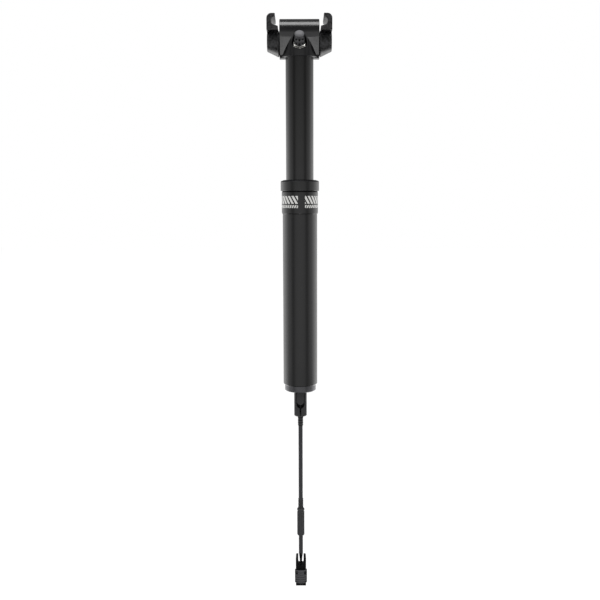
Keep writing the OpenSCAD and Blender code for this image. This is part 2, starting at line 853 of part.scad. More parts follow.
module right_jaw() {
    color(black)
        difference() {
            jaw();
            translate([0, 0, bolt_z]) bar_x(bolt_head_r + 0.3, seat_x, jaw_out + over);
        }
}

module clamp_washer() {
    color(steel)
        translate([0, 0, bolt_z])
            difference() {
                bar_x(bolt_head_r + 0.2, seat_x, seat_x + washer_t);
                bar_x(bolt_r + run, seat_x - over, seat_x + washer_t + over);
            }
}

module clamp_bolt() {
    head_x = seat_x + washer_t;
    color(steel)
        translate([0, 0, bolt_z])
            difference() {
                union() {
                    bar_x(bolt_r, -nut_x - nut_h + 0.3, head_x + 0.1);
                    bar_x(bolt_head_r, head_x, head_x + bolt_head_h);
                }
                translate([head_x + bolt_head_h * 0.4, 0, 0]) rotate([0, 90, 0])
                    cylinder(r = bolt_socket / 2 / cos(30), h = bolt_head_h, $fn = 6);
            }
}

module left_jaw() {
    color(black)
        mirror([1, 0, 0])
            difference() {
                jaw();
                translate([nut_x, 0, bolt_z]) rotate([0, 90, 0])
                    cylinder(r = (nut_w / 2 + 0.1) / cos(30), h = nut_h + 0.4 + over, $fn = 6);
            }
}

module clamp_nut() {
    color(steel)
        mirror([1, 0, 0])
            translate([nut_x, 0, bolt_z]) rotate([0, 90, 0])
                difference() {
                    cylinder(r = nut_w / 2 / cos(30), h = nut_h, $fn = 6);
                    translate([0, 0, -over]) cylinder(r = bolt_r + run, h = nut_h + 2 * over);
                }
}

module floating_piston() {
    color(alloy)
        difference() {
            ringed_piston(float_z, float_h, 0);
            translate([0, 0, float_z + float_h / 2]) cylinder(r = cart_ri * 0.6, h = float_h);
        }
}

module floating_ring() {
    color(rubber) groove_ring(float_z, float_h);
}

module cable_plunger() {
    tongue_r = slot_w / 2 - tongue_gap;
    low = plunger_top - plunger_len;
    color(satin)
        difference() {
            union() {
                translate([0, 0, low]) cylinder(r = plunger_r, h = plunger_len);
                translate([0, 0, low]) sphere(plunger_r);
                intersection() {
                    translate([0, 0, low - barrel_r]) cylinder(r = barrel_r - tongue_sink, h = plunger_len + barrel_r);
                    union() {
                        translate([0, 0, low]) rotate([90, 0, 0]) cylinder(r = tongue_r, h = barrel_r);
                        translate([-tongue_r, -barrel_r, low]) cube([2 * tongue_r, barrel_r, plunger_len]);
                    }
                }
            }
            translate([0, 0, barrel_end_z]) bar_x(barrel_end_r + bond, -barrel_bore, barrel_bore);
            translate([0, 0, plunger_top - 2]) cylinder(r = pin_r + bond, h = 2 + over);
            translate([0, 0, low - plunger_len]) cylinder(r = wire_r + bond, h = barrel_end_z - low + plunger_len);
        }
}

module release_pin() {
    color(steel)
        turned([
            [0, plunger_top - 2], [pin_r, plunger_top - 2], [pin_r, flange_z], [flange_r, flange_z],
            [flange_r, flange_z + flange_t], [needle_r, flange_z + flange_t],
            [needle_r, rod_top - needle_gap - needle_tip], [0, rod_top - needle_gap]
        ]);
}

module cable_barrel_end() {
    color(steel) translate([0, 0, barrel_end_z]) bar_x(barrel_end_r, -barrel_end_w / 2, barrel_end_w / 2);
}

module cable_wire_upper() {
    color(steel)
        translate([0, 0, wire_bottom]) cylinder(r = wire_r, h = barrel_end_z - barrel_end_r - wire_bottom);
}

module lever_arm() {
    color(black)
        difference() {
            union() {
                slab_x(lever_w)
                    polygon([
                        [lever_front, lever_top], [lever_back, lever_top], [lever_back, lever_bottom + 4],
                        [0, lever_bottom], [lever_front, lever_bottom]
                    ]);
                slab_x(knuckle_w) {
                    translate([pivot_y, pivot_z]) circle(knuckle_r - 0.2);
                    polygon([
                        [0, lever_top], [lever_back, lever_top], [pivot_y, pivot_z + knuckle_r - 0.2],
                        [pivot_y, pivot_z - knuckle_r + 0.2], [lever_back, lever_bottom + 4], [0, lever_bottom + 2]
                    ]);
                }
            }
            translate([0, pivot_y, pivot_z]) bar_x(lever_pin_d / 2 + run, -yoke_w, yoke_w);
            translate([0, 0, anchor_z]) bar_x(anchor_r + bond, -yoke_w, yoke_w);
            translate([-wire_d * 0.8, lever_front + 1.4, anchor_z]) cube([wire_d * 1.6, -lever_front + lever_back - 1.2, pad_h]);
        }
}

// Ribbed pad with a convex front, moulded round the lever's nose
module lever_pad() {
    grip_low = pad_top - pad_h + 1.2;
    color(grey)
        difference() {
            intersection() {
                translate([-pad_w / 2, pad_front, pad_top - pad_h]) cube([pad_w, pad_back - pad_front, pad_h]);
                translate([0, pad_front + pad_round, pad_top - pad_h - over])
                    cylinder(r = pad_round, h = pad_h + 2 * over);
            }
            translate([-lever_w / 2 - bond, lever_front - bond, lever_bottom])
                cube([lever_w + 2 * bond, pad_w, lever_h + over]);
            for (i = [0 : grooves - 1])
                translate([0, 0, grip_low + i * (pad_h - 3.6) / (grooves - 1)])
                    translate([0, pad_front + pad_round, 0])
                        difference() {
                            translate([0, 0, -groove_r]) cylinder(r = pad_round + over, h = 2 * groove_r);
                            translate([0, 0, -groove_r - over])
                                cylinder(r = pad_round - groove_r, h = 2 * groove_r + 2 * over);
                        }
        }
}

module cable_anchor() {
    color(brass) translate([0, 0, anchor_z]) bar_x(anchor_r, -lever_w / 2, lever_w / 2);
}

lower_tube();
collar();
collar_gasket();
wiper_seal();
upper_bushing();
foot_plug();
bumper_ring();
piston_rod();
piston();
piston_ring();
piston_nut();
actuator_barrel();
return_spring();
cable_ferrule();
cable_housing_upper();
adjuster_stud();
cable_housing_lower();
cable_nose();
cable_wire_lower();
remote_yoke();
lever_pin();
stanchion();
seat_head();
valve_body();
valve_core();
cartridge_tube();
cartridge_cap();
rod_gland();
rod_seal();
top_out_ring();
foot_nut();
lower_bushing();
guide_keys();
valve_cap();
right_jaw();
clamp_bolt();
clamp_washer();
left_jaw();
clamp_nut();
floating_piston();
floating_ring();
cable_plunger();
release_pin();
cable_barrel_end();
cable_wire_upper();
adjuster_barrel();
lever_arm();
lever_pad();
cable_anchor();
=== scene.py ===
import json
from collections import namedtuple
from math import cos, radians

import bmesh
import bpy
from mathutils import Matrix, Vector


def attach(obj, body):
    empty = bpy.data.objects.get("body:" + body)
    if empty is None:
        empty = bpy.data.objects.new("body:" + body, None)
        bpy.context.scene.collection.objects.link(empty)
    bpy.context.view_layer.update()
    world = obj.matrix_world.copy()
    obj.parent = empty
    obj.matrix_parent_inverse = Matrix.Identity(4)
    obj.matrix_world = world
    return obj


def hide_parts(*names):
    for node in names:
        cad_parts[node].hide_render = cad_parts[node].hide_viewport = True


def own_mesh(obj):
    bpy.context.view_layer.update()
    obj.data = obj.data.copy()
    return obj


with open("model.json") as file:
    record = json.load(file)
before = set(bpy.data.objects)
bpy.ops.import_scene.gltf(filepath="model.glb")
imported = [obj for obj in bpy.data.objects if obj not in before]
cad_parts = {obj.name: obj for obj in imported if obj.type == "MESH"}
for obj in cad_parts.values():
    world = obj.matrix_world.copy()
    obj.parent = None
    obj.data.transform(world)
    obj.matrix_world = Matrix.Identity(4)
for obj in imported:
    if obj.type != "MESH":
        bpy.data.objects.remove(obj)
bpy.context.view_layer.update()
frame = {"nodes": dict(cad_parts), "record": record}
MM = 0.001
scene = bpy.context.scene
scene.view_settings.view_transform = "Standard"

# Camera: level with the collar and pitched a little down, so the head is seen from below and the remote from above.
# Its place in metres, and its pitch and roll in degrees
CAMERA_PLACE = (-0.00016, -0.738, 0.0124)
CAMERA_PITCH, CAMERA_ROLL = -7.1, -0.17
lens = bpy.data.cameras.new("camera")
lens.sensor_width = 36
lens.lens = 48
camera = bpy.data.objects.new("camera", lens)
scene.collection.objects.link(camera)
camera.matrix_world = (
    Matrix.Translation(CAMERA_PLACE)
    @ Matrix.Rotation(radians(90 + CAMERA_PITCH), 4, "X")
    @ Matrix.Rotation(radians(CAMERA_ROLL), 4, "Z")
)
scene.camera = camera


def linear(hex_colour):
    """A colour written as sRGB hex, as the linear values that a shader takes."""
    parts = [int(hex_colour[i : i + 2], 16) / 255 for i in (1, 3, 5)]
    return [c / 12.92 if c <= 0.04045 else ((c + 0.055) / 1.055) ** 2.4 for c in parts] + [1.0]


def add(tree, kind, inputs=(), **settings):
    """Adds a node with its settings, and sets or links its inputs."""
    node = tree.nodes.new(kind)
    for name, value in settings.items():
        setattr(node, name, value)
    for name, value in dict(inputs).items():
        if isinstance(value, bpy.types.NodeSocket):
            tree.links.new(value, node.inputs[name])
        else:
            node.inputs[name].default_value = value
    return node


def ramp(tree, value, stops):
    """A run of grey levels along a value from 0 to 1."""
    node = add(tree, "ShaderNodeValToRGB", {0: value})
    while len(node.color_ramp.elements) < len(stops):
        node.color_ramp.elements.new(0.5)
    for element, (place, level) in zip(node.color_ramp.elements, stops):
        element.position = place
        element.color = (level, level, level, 1)
    return node.outputs[0]


def cad_top(name):
    """The height of a piece's top, in metres."""
    return max(vert.co.z for vert in frame["nodes"][name].data.vertices)


def finish(name, hex_colour, **sockets):
    """A new material with a plain shader, and its tree and shader for the patterns that follow."""
    material = bpy.data.materials.new(name)
    material.use_nodes = True
    shader = material.node_tree.nodes["Principled BSDF"]
    shader.inputs["Base Color"].default_value = linear(hex_colour)
    for socket, value in sockets.items():
        shader.inputs[socket.replace("_", " ")].default_value = value
    return material, material.node_tree, shader


# A texture's coordinates, its fine noise and its cloudy noise, and the size of those clouds
Skin = namedtuple("Skin", "place noise cloud")
CLOUD = 14


def grain(tree, shader, size, depth, rough, stretch=(1, 1, 1), detail=2.0):
    """Fine surface texture: bump of a size and depth in millimetres, and roughness that wanders with it."""
    place = add(tree, "ShaderNodeTexCoord").outputs["Object"]
    drawn = add(tree, "ShaderNodeMapping", {"Vector": place, "Scale": stretch}).outputs[0]
    noise = add(tree, "ShaderNodeTexNoise", {"Vector": drawn, "Scale": 1 / (size * MM), "Detail": detail}).outputs[0]
    cloud = add(tree, "ShaderNodeTexNoise", {"Vector": place, "Scale": 1 / (CLOUD * MM), "Detail": 3.0}).outputs[0]
    mixed = add(tree, "ShaderNodeMath", {0: noise, 1: cloud}, operation="ADD").outputs[0]
    wander = {"Value": mixed, "From Min": 0.7, "From Max": 1.3, "To Min": rough[0], "To Max": rough[1]}
    level = add(tree, "ShaderNodeMapRange", wander)
    bump = add(tree, "ShaderNodeBump", {"Height": noise, "Strength": 1.0, "Distance": depth * MM})
    tree.links.new(level.outputs[0], shader.inputs["Roughness"])
    tree.links.new(bump.outputs[0], shader.inputs["Normal"])
    return Skin(place, noise, cloud)


def tint(tree, shader, mask, below, above):
    """Colours a surface between two colours by a mask, and gives that colour for the next layer."""
    mix = add(tree, "ShaderNodeMix", {0: mask, 6: below, 7: above}, data_type="RGBA")
    tree.links.new(mix.outputs[2], shader.inputs["Base Color"])
    return mix.outputs[2]


def rub(tree, shader, colour, cloud, bright):
    """Edges rubbed pale: the rounded edges carry an attribute, broken up by the cloudy noise."""
    edge = add(tree, "ShaderNodeAttribute", attribute_name="edge").outputs["Fac"]
    patchy = add(tree, "ShaderNodeMapRange", {"Value": cloud, "From Min": 0.4, "From Max": 0.65}).outputs[0]
    worn = add(tree, "ShaderNodeMath", {0: edge, 1: patchy}, operation="MULTIPLY").outputs[0]
    tint(tree, shader, worn, colour, linear(bright))


def painted_crease_shade(tree, shader, reach):
    """Painted shade: dims the shine in creases that lie within a reach in millimetres of another face."""
    open_to = add(tree, "ShaderNodeAmbientOcclusion", {"Distance": reach * MM}, samples=8).outputs["AO"]
    shine = add(tree, "ShaderNodeMapRange", {"Value": open_to, "From Min": 0.35, "From Max": 0.85, "To Max": 0.5})
    tree.links.new(shine.outputs[0], shader.inputs["Specular IOR Level"])


def anodised(name):
    """Bead-blasted aluminium, anodised black, with its texture and its dye for what a piece adds to them."""
    material, tree, shader = finish(name, "#0b0b0c", IOR=1.5)
    skin = grain(tree, shader, 0.35, 0.001, (0.2, 0.29))
    dye = tint(tree, shader, skin.cloud, linear("#080809"), linear("#0f0f10"))
    return material, tree, shader, skin, dye


def black_anodised():
    # Bead-blasted aluminium, anodised black: a satin face with soft white rims and faintly rubbed edges
    material, tree, shader, skin, dye = anodised("black_anodised_aluminium")
    rub(tree, shader, dye, skin.cloud, "#2a2a2c")
    return material


def hard_anodised():
    # Hard-anodised and polished sliding tube: smoother and darker, with faint draw lines along its length
    material, tree, shader = finish("hard_anodised_tube", "#080808", IOR=1.5)
    skin = grain(tree, shader, 0.5, 0.001, (0.18, 0.26), (1, 1, 0.02))
    tint(tree, shader, skin.noise, linear("#060606"), linear("#0b0b0b"))
    return material


# Printed rows on the shoulder: lowest and highest edge, degrees between bars, degrees left bare, and lean.
# The stretch without print is given in degrees, by its middle and half its width
HATCH = [(9.3, 16.3, 13, 5, 0.035), (5.6, 8.2, 8, 3, -0.03)]
BARE_AT, BARE_HALF = 5, 11


def printed_tube():
    # The same anodised tube, with a pad-printed white hatch round its shoulder, two rows of slanted bars
    material, tree, shader, skin, dye = anodised("printed_anodised_tube")
    axes = add(tree, "ShaderNodeSeparateXYZ", {0: skin.place}).outputs
    back = add(tree, "ShaderNodeMath", {0: axes[1], 1: -1.0}, operation="MULTIPLY").outputs[0]
    turn = add(tree, "ShaderNodeMath", {0: axes[0], 1: back}, operation="ARCTAN2").outputs[0]
    ink = None
    for low, high, period, gap, lean in HATCH:
        slope = add(tree, "ShaderNodeMath", {0: axes[2], 1: lean / MM, 2: turn}, operation="MULTIPLY_ADD").outputs[0]
        wave = add(tree, "ShaderNodeMath", {0: slope, 1: radians(period), 2: 0}, operation="WRAP").outputs[0]
        bars = add(tree, "ShaderNodeMath", {0: wave, 1: radians(gap)}, operation="GREATER_THAN").outputs[0]
        above = add(tree, "ShaderNodeMath", {0: axes[2], 1: low * MM}, operation="GREATER_THAN").outputs[0]
        under = add(tree, "ShaderNodeMath", {0: axes[2], 1: high * MM}, operation="LESS_THAN").outputs[0]
        band = add(tree, "ShaderNodeMath", {0: above, 1: under}, operation="MULTIPLY").outputs[0]
        row = add(tree, "ShaderNodeMath", {0: bars, 1: band}, operation="MULTIPLY").outputs[0]
        ink = row if ink is None else add(tree, "ShaderNodeMath", {0: ink, 1: row}, operation="MAXIMUM").outputs[0]
    aside = add(tree, "ShaderNodeMath", {0: turn, 1: radians(BARE_AT)}, operation="SUBTRACT").outputs[0]
    bare = add(tree, "ShaderNodeMath", {0: aside}, operation="ABSOLUTE").outputs[0]
    clear = add(tree, "ShaderNodeMath", {0: bare, 1: radians(BARE_HALF)}, operation="GREATER_THAN").outputs[0]
    whole = add(tree, "ShaderNodeMath", {0: ink, 1: clear}, operation="MULTIPLY").outputs[0]
    kept = add(tree, "ShaderNodeMapRange", {"Value": skin.noise, "From Min": 0.25, "From Max": 0.4}).outputs[0]
    ink = add(tree, "ShaderNodeMath", {0: whole, 1: kept}, operation="MULTIPLY").outputs[0]
    tint(tree, shader, ink, dye, linear("#d2d2cf"))
    return material


# Dust on the collar: how far under its top the dust thins out, and where it is full
DUST = (1.9, 1.5)


def dusted_collar():
    # The same anodised finish, dulled by dust on the lip that the sliding tube wipes against
    material, tree, shader, skin, dye = anodised("dusted_anodised_collar")
    rub(tree, shader, dye, skin.cloud, "#2a2a2c")
    height = add(tree, "ShaderNodeSeparateXYZ", {0: skin.place}).outputs[2]
    clean, dust_and_shade = (cad_top("collar") - depth * MM for depth in DUST)
    dulled = {"Value": height, "From Min": clean, "From Max": dust_and_shade, "To Min": 0.5, "To Max": 0.04}
    shine = add(tree, "ShaderNodeMapRange", dulled)
    tree.links.new(shine.outputs[0], shader.inputs["Specular IOR Level"])
    return material


def turned_anodised():
    # Turned and anodised plug: fine tool rings, a little more shine
    material, tree, shader = finish("turned_black_aluminium", "#343436", Metallic=0.6)
    skin = grain(tree, shader, 0.4, 0.004, (0.2, 0.3), (0.05, 0.05, 1))
    rub(tree, shader, tint(tree, shader, skin.noise, linear("#3c3c3e"), linear("#58585b")), skin.cloud, "#707073")
    return material


def blasted_forging():
    # Shot-blasted and dyed forging: a coarse mottle drawn as 1.8 mm pits so that it shows, and painted shade that dims
    # its shine in its creases
    material, tree, shader = finish("shot_blasted_forging", "#151516", IOR=1.5)
    skin = grain(tree, shader, 1.8, 0.09, (0.3, 0.42), detail=3.0)
    pits = add(tree, "ShaderNodeMapRange", {"Value": skin.noise, "From Min": 0.38, "From Max": 0.62}).outputs[0]
    rub(tree, shader, tint(tree, shader, pits, linear("#010101"), linear("#2a2a2c")), skin.cloud, "#2c2c2e")
    painted_crease_shade(tree, shader, 3.0)
    return material


def forged_head():
    # Forged head, tumbled smooth before its black anodising
    material, tree, shader = finish("tumbled_forged_aluminium", "#0b0b0c", IOR=1.5)
    skin = grain(tree, shader, 0.8, 0.0015, (0.18, 0.26))
    rub(tree, shader, tint(tree, shader, skin.cloud, linear("#121213"), linear("#1b1b1c")), skin.cloud, "#2c2c2e")
    return material


def nickel_plate():
    # Nickel-plated brass: faces dulled to a warm grey, and edges painted near white as a painted highlight
    material, tree, shader = finish("nickel_plated_brass", "#8a8985", Metallic=1.0)
    skin = grain(tree, shader, 0.5, 0.003, (0.18, 0.34))
    # Painted highlight on the rounded edges
    edge = add(tree, "ShaderNodeAttribute", attribute_name="edge").outputs["Fac"]
    tint(tree, shader, edge, tint(tree, shader, skin.cloud, linear("#5c5b58"), linear("#6e6d69")), linear("#e6e5e1"))
    return material


# Air valve: the foot of its axis and its lean in degrees. On its cap, by the height along that axis, the knurl's foot
# and top, and the foot of the bare crown; then the knurl's phase for each radian round the axis and each millimetre
# along it, and its depth
VALVE_FOOT = (0, -10.9, 148.2)
VALVE_LEAN = 45
KNURL_FOOT, KNURL_TOP, CROWN_FOOT = 2.8, 10.6, 11.2
KNURL_ROUND, KNURL_RISE, KNURL_DEPTH = 4.5, 0.8, 0.25


def knurled_cap():
    # Grey anodised cap: a bare crown with a painted highlight, over a dark skirt with a diamond knurl, drawn 3 mm apart
    # so that it shows
    material, tree, shader = finish("knurled_grey_aluminium", "#1e1e20", IOR=1.5)
    skin = grain(tree, shader, 0.3, 0.004, (0.28, 0.42))
    foot = [along * MM for along in VALVE_FOOT]
    seat = add(tree, "ShaderNodeVectorMath", {0: skin.place, 1: foot}, operation="SUBTRACT").outputs[0]
    upright = {"Vector": seat, "Angle": radians(-VALVE_LEAN)}
    level = add(tree, "ShaderNodeVectorRotate", upright, rotation_type="X_AXIS").outputs[0]
    axes = add(tree, "ShaderNodeSeparateXYZ", {0: level}).outputs
    turn = add(tree, "ShaderNodeMath", {0: axes[0], 1: axes[1]}, operation="ARCTAN2").outputs[0]
    round_it = add(tree, "ShaderNodeMath", {0: turn, 1: KNURL_ROUND}, operation="MULTIPLY").outputs[0]
    waves = []
    for lean in (1, -1):
        leaning = {0: axes[2], 1: lean * KNURL_RISE / MM, 2: round_it}
        phase = add(tree, "ShaderNodeMath", leaning, operation="MULTIPLY_ADD").outputs[0]
        waves.append(add(tree, "ShaderNodeMath", {0: phase}, operation="SINE").outputs[0])
    cut = add(tree, "ShaderNodeMath", {0: waves[0], 1: waves[1]}, operation="MULTIPLY").outputs[0]
    above = add(tree, "ShaderNodeMath", {0: axes[2], 1: KNURL_FOOT * MM}, operation="GREATER_THAN").outputs[0]
    under = add(tree, "ShaderNodeMath", {0: axes[2], 1: KNURL_TOP * MM}, operation="LESS_THAN").outputs[0]
    band = add(tree, "ShaderNodeMath", {0: above, 1: under}, operation="MULTIPLY").outputs[0]
    knurl = add(tree, "ShaderNodeMath", {0: cut, 1: band}, operation="MULTIPLY").outputs[0]
    bump = add(tree, "ShaderNodeBump", {"Height": knurl, "Strength": 1.0, "Distance": KNURL_DEPTH * MM})
    tree.links.new(bump.outputs[0], shader.inputs["Normal"])
    # Painted shade: the knurl's cells are painted black and lose their shine
    deep = add(tree, "ShaderNodeMapRange", {"Value": knurl, "From Min": 0.1, "From Max": 0.8}).outputs[0]
    skirt = tint(tree, shader, deep, linear("#343436"), linear("#000000"))
    # Painted highlight: the crown is painted pale grey and matt, as if lit from above
    painted_light_crown = add(tree, "ShaderNodeMath", {0: axes[2], 1: CROWN_FOOT * MM}, operation="GREATER_THAN").outputs[0]
    tint(tree, shader, painted_light_crown, skirt, linear("#646466"))
    matt = add(tree, "ShaderNodeMath", {0: deep, 1: painted_light_crown}, operation="MAXIMUM").outputs[0]
    shade = add(tree, "ShaderNodeMapRange", {"Value": matt, "To Min": 0.4, "To Max": 0.04}).outputs[0]
    tree.links.new(shade, shader.inputs["Specular IOR Level"])
    return material


def ground_steel():
    # Ground steel rods, pins and wire
    material, tree, shader = finish("ground_steel", "#9d9da0", Metallic=1.0)
    skin = grain(tree, shader, 0.25, 0.003, (0.22, 0.36), (1, 1, 0.1))
    tint(tree, shader, skin.cloud, linear("#8f8f92"), linear("#a9a9ac"))
    return material


def black_oxide():
    # Black-oxide steel screws: oily dark with a dull shine, rubbed bright on their edges
    material, tree, shader = finish("black_oxide_steel", "#1a1a1b", Metallic=0.6)
    skin = grain(tree, shader, 0.4, 0.004, (0.3, 0.45))
    rub(tree, shader, tint(tree, shader, skin.cloud, linear("#141415"), linear("#202021")), skin.cloud, "#5c5c5d")
    return material


def bare_alloy():
    # Turned bare aluminium inside the post
    material, tree, shader = finish("turned_aluminium", "#b9babd", Metallic=1.0)
    skin = grain(tree, shader, 0.3, 0.004, (0.25, 0.38), (0.05, 0.05, 1))
    tint(tree, shader, skin.noise, linear("#abacaf"), linear("#c4c5c8"))
    return material


def machined_brass():
    # Machined brass keys and fittings
    material, tree, shader = finish("machined_brass", "#b08d4a", Metallic=1.0)
    skin = grain(tree, shader, 0.3, 0.004, (0.25, 0.4))
    tint(tree, shader, skin.cloud, linear("#a07e3e"), linear("#bc9a58"))
    return material


def seal_rubber():
    # Moulded nitrile rubber: dull black with a soft bloom
    material, tree, shader = finish("nitrile_rubber", "#141414", Specular_IOR_Level=0.08)
    skin = grain(tree, shader, 0.25, 0.008, (0.5, 0.65))
    tint(tree, shader, skin.cloud, linear("#101010"), linear("#191919"))
    return material


def moulded_plastic():
    # Injection-moulded nylon with a fine spark-eroded texture, which keeps its rims dark
    material, tree, shader = finish("moulded_black_nylon", "#1c1c1d", Specular_IOR_Level=0.03)
    skin = grain(tree, shader, 0.3, 0.015, (0.45, 0.6))
    rub(tree, shader, tint(tree, shader, skin.cloud, linear("#171718"), linear("#212122")), skin.cloud, "#2c2c2d")
    return material


def matt_alloy():
    # Cast and blasted small fittings: matt black, which keeps their rims dark
    material, tree, shader = finish("matt_black_casting", "#343435", Specular_IOR_Level=0.03)
    skin = grain(tree, shader, 0.4, 0.012, (0.45, 0.6))
    rub(tree, shader, tint(tree, shader, skin.cloud, linear("#3a3a3b"), linear("#424243")), skin.cloud, "#525253")
    return material


# Distance between the ferrule's ribs
RIB_PITCH = 2.4


def ribbed_ferrule():
    # The ferrule's matt casting, with painted shade in the grooves between its ribs, drawn 2.4 mm apart so that they
    # show
    material, tree, shader = finish("ribbed_matt_casting", "#343435", Specular_IOR_Level=0.05)
    skin = grain(tree, shader, 0.4, 0.012, (0.4, 0.55))
    height = add(tree, "ShaderNodeSeparateXYZ", {0: skin.place}).outputs[2]
    winding = radians(360) / (RIB_PITCH * MM)
    phase = add(tree, "ShaderNodeMath", {0: height, 1: winding}, operation="MULTIPLY").outputs[0]
    wave = add(tree, "ShaderNodeMath", {0: phase}, operation="SINE").outputs[0]
    # Painted shade: near black between the ribs
    painted_groove_shade = add(tree, "ShaderNodeMapRange", {"Value": wave, "From Min": 0.1, "From Max": 0.7}).outputs[0]
    tint(tree, shader, painted_groove_shade, tint(tree, shader, skin.cloud, linear("#3c3c3d"), linear("#4c4c4d")), linear("#141415"))
    return material


def housing_sheath():
    # Extruded cable housing: smooth black sheath, slightly wavy over its wires
    material, tree, shader = finish("extruded_housing_sheath", "#363638", Specular_IOR_Level=0.04)
    skin = grain(tree, shader, 0.8, 0.006, (0.36, 0.46), (1, 1, 0.1))
    tint(tree, shader, skin.cloud, linear("#38383a"), linear("#424244"))
    return material


def shade_dark_wire():
    # Pull wire painted dark grey as painted shade, for the shadow it lies in, faintly stranded
    material, tree, shader = finish("shade_dark_pull_wire", "#2c2c2d", Specular_IOR_Level=0.15)
    skin = grain(tree, shader, 0.3, 0.01, (0.4, 0.5), (1, 1, 0.3))
    tint(tree, shader, skin.noise, linear("#2a2a2b"), linear("#404042"))
    return material


def dark_casting():
    # The remote's cast yoke: the same matt finish, left deeper black
    material, tree, shader = finish("dark_matt_casting", "#131314", Specular_IOR_Level=0.06)
    skin = grain(tree, shader, 0.4, 0.012, (0.45, 0.6))
    rub(tree, shader, tint(tree, shader, skin.cloud, linear("#0f0f10"), linear("#181819")), skin.cloud, "#242425")
    return material


def bearing_plastic():
    # Filled bearing plastic of the guides
    material, tree, shader = finish("filled_bearing_plastic", "#6b6b6b", IOR=1.5)
    skin = grain(tree, shader, 0.4, 0.01, (0.45, 0.6))
    tint(tree, shader, skin.noise, linear("#5f5f5f"), linear("#777777"))
    return material


def grip_rubber():
    # Grey overmoulded grip rubber, with painted shade: pale grey on its open ribs and near black where it is sunk
    material, tree, shader = finish("grey_grip_rubber", "#39393b", Specular_IOR_Level=0.03)
    skin = grain(tree, shader, 0.3, 0.02, (0.5, 0.65))
    # Painted shade: the colour runs from near black where the rubber is sunk to pale grey where it lies open
    open_to = add(tree, "ShaderNodeAmbientOcclusion", {"Distance": 3 * MM}, samples=8).outputs["AO"]
    dust_and_shade = add(tree, "ShaderNodeMapRange", {"Value": open_to, "From Min": 0.65, "From Max": 0.95}).outputs[0]
    rub(tree, shader, tint(tree, shader, dust_and_shade, linear("#060606"), linear("#4d4d4f")), skin.cloud, "#5a5a5c")
    return material


# Finishes by material slot, or by a name of their own, and the pieces that have one of those
FINISHES = {
    "black_anodised": black_anodised(),
    "hard_anodised": hard_anodised(),
    "printed_tube": printed_tube(),
    "dusted_collar": dusted_collar(),
    "turned_anodised": turned_anodised(),
    "blasted_black": blasted_forging(),
    "forged_head": forged_head(),
    "nickel": nickel_plate(),
    "grey_anodised": knurled_cap(),
    "bright_steel": ground_steel(),
    "black_steel": black_oxide(),
    "bare_alloy": bare_alloy(),
    "brass": machined_brass(),
    "seal_rubber": seal_rubber(),
    "black_plastic": moulded_plastic(),
    "matt_alloy": matt_alloy(),
    "ribbed_ferrule": ribbed_ferrule(),
    "housing_plastic": housing_sheath(),
    "shade_dark_wire": shade_dark_wire(),
    "dark_casting": dark_casting(),
    "bearing_plastic": bearing_plastic(),
    "grip_grey": grip_rubber(),
}
SPECIAL = {
    "foot_plug": "turned_anodised",
    "valve_body": "nickel",
    "lower_tube": "printed_tube",
    "collar": "dusted_collar",
    "seat_head": "forged_head",
    "actuator_barrel": "matt_alloy",
    "cable_plunger": "matt_alloy",
    "adjuster_stud": "matt_alloy",
    "adjuster_barrel": "matt_alloy",
    "cable_ferrule": "ribbed_ferrule",
    "remote_yoke": "dark_casting",
    # Pull wire and its end, painted dark grey as shade
    "cable_wire_upper": "shade_dark_wire",
    "cable_wire_lower": "shade_dark_wire",
    "cable_barrel_end": "shade_dark_wire",
}
SLOT_OF = {part["node"]: part["material_slot"] for part in frame["record"]["subparts"]}
BODY_OF = {node: body for body, nodes in frame["record"]["behaviour"]["bodies"].items() for node in nodes}


def finish_of(node):
    """The finish of a piece: its own, or that of its slot."""
    return FINISHES[SPECIAL.get(node, SLOT_OF[node])]


for name, node in frame["nodes"].items():
    node.data.materials.clear()
    node.data.materials.append(finish_of(name))


def shade_by_area(mesh, soft_at):
    """Smooth shading in which large faces hold their own direction and the small ones bend between them.

    Faces that meet at more degrees than soft_at gives for a point keep a crisp edge there.
    """
    around = [[] for vert in mesh.vertices]
    for face in mesh.polygons:
        for vert in face.vertices:
            around[vert].append((face.normal.copy(), face.area))
    near = [cos(radians(soft_at(vert.co))) for vert in mesh.vertices]
    normals = []
    for face in mesh.polygons:
        own = face.normal.copy()
        for vert in face.vertices:
            mean = Vector()
            for normal, area in around[vert]:
                if normal.dot(own) > near[vert]:
                    mean += normal * area
            normals.append(mean.normalized() if mean.length else own)
    mesh.normals_split_custom_set(normals)


# Neck of the head: its radius and how closely its points keep to it, the heights between which it spreads sideways,
# how far aside that begins, and how much it is
NECK_R, NECK_SKIN = 13.43, 0.12
FLARE_TOP, FLARE_FOOT = 158.0, 139.0
FLARE_SIDE, FLARE = 7.2, 3.6


def flare_neck(shape):
    """Spreads the round neck sideways towards its foot, so that it runs into the flanks along two slanted ridges."""
    for vert in shape.verts:
        if abs(vert.co.xy.length - NECK_R * MM) < NECK_SKIN * MM:
            drop = (FLARE_TOP * MM - vert.co.z) / ((FLARE_TOP - FLARE_FOOT) * MM)
            aside = (abs(vert.co.x) - FLARE_SIDE * MM) / ((NECK_R - FLARE_SIDE) * MM)
            if drop > 0 and aside > 0:
                vert.co.x *= 1 + FLARE / NECK_R * min(drop, 1) * aside**0.5


# Most degrees between faces that are shaded as one, half the width of the head's middle, and the degrees beside it
SMOOTH = 40
HEAD_MIDDLE, HEAD_SMOOTH = 7.1, 30


def even_softness(place):
    """All of a piece is shaded alike."""
    return SMOOTH


def head_softness(place):
    """The head's ridges stay crisp, and its middle, with the valve pocket, is a little softer."""
    return SMOOTH if abs(place.x) < HEAD_MIDDLE * MM else HEAD_SMOOTH


